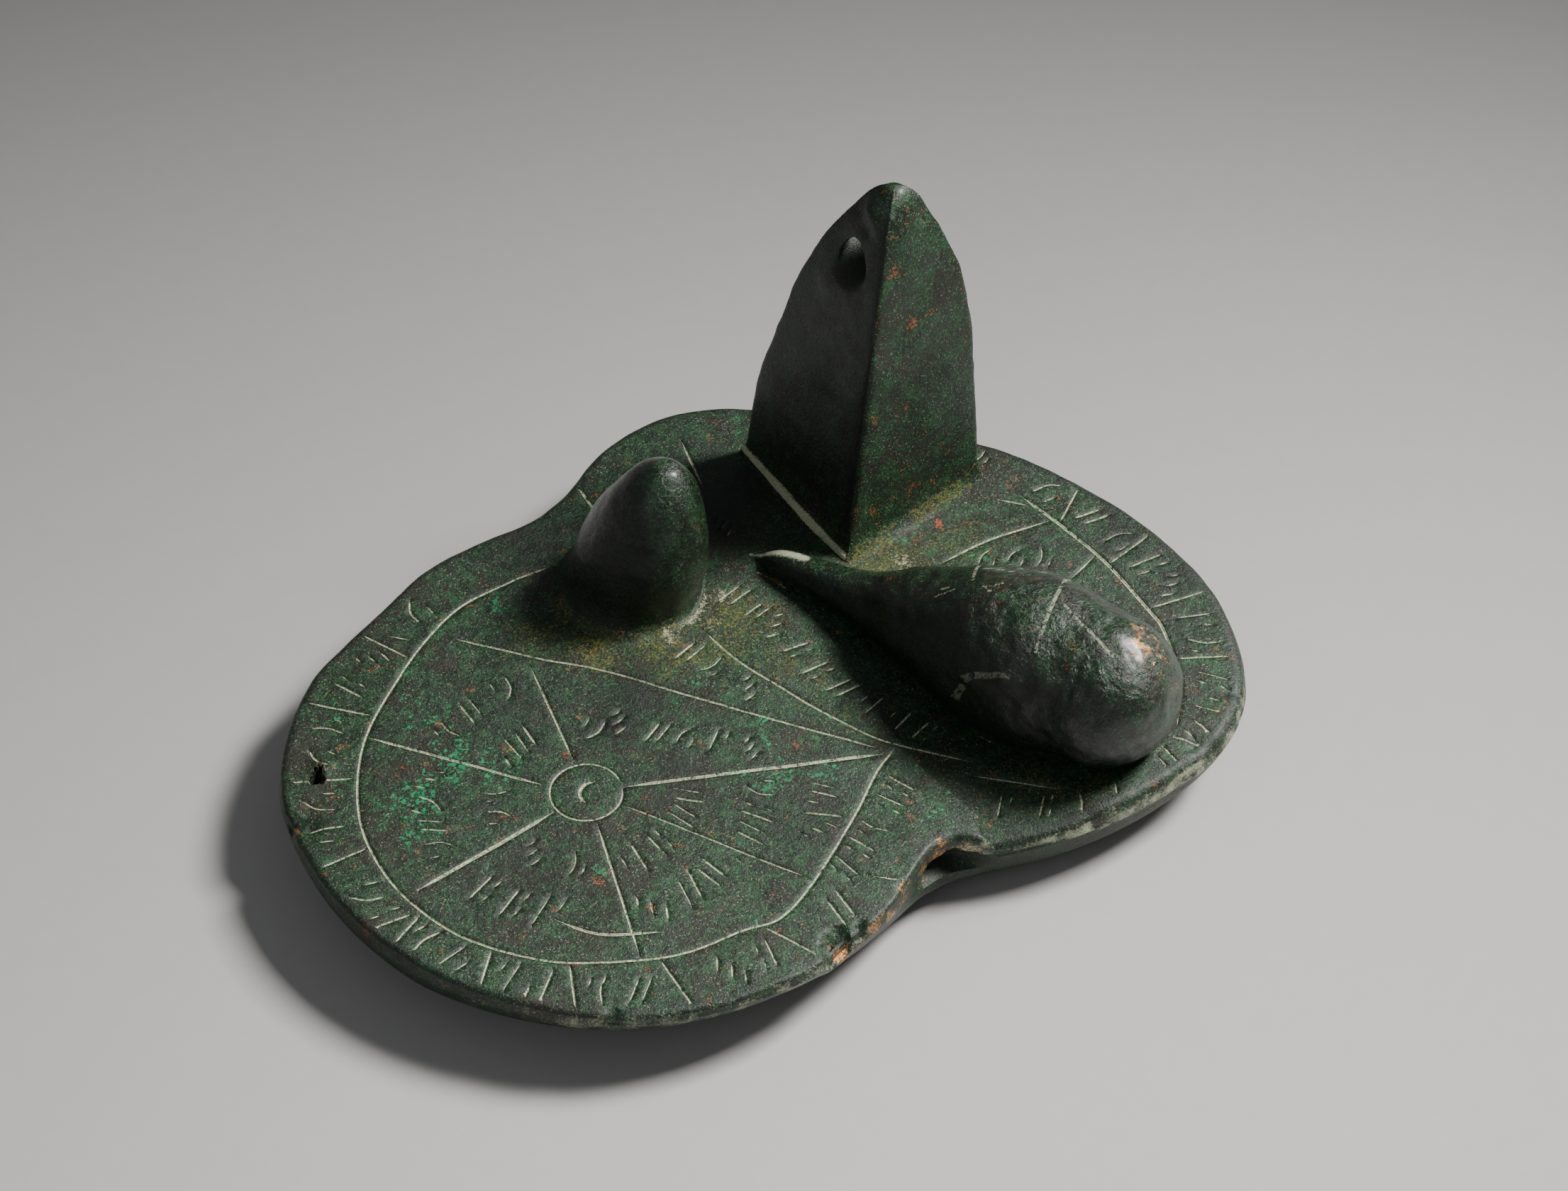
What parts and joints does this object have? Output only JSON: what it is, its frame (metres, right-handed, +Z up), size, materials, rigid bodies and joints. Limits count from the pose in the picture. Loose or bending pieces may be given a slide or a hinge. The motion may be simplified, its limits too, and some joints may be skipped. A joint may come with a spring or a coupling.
{
  "type": "bronze liver model",
  "caption": "Cast bronze model of a sheep's liver: a two-lobed plate with a pyramid, an egg-shaped nub, a lying gall bladder and rows of shallow strokes.",
  "frame": {"origin": "middle of the object's footprint box, on the surface that it rests on", "axes": "+X along the long side of the plate towards the right lobe, -Y towards the notch between the lobes, +Z up, out of the engraved face"},
  "size_m": [0.1256, 0.0992, 0.06],
  "materials": {
    "patinated_bronze": "cast bronze under a dark green patina, semi-gloss, with worn copper-red edges and pale deposits in the engraved strokes"
  },
  "bodies": {
    "root": {"liver": "patinated_bronze"}
  },
  "joints": []
}
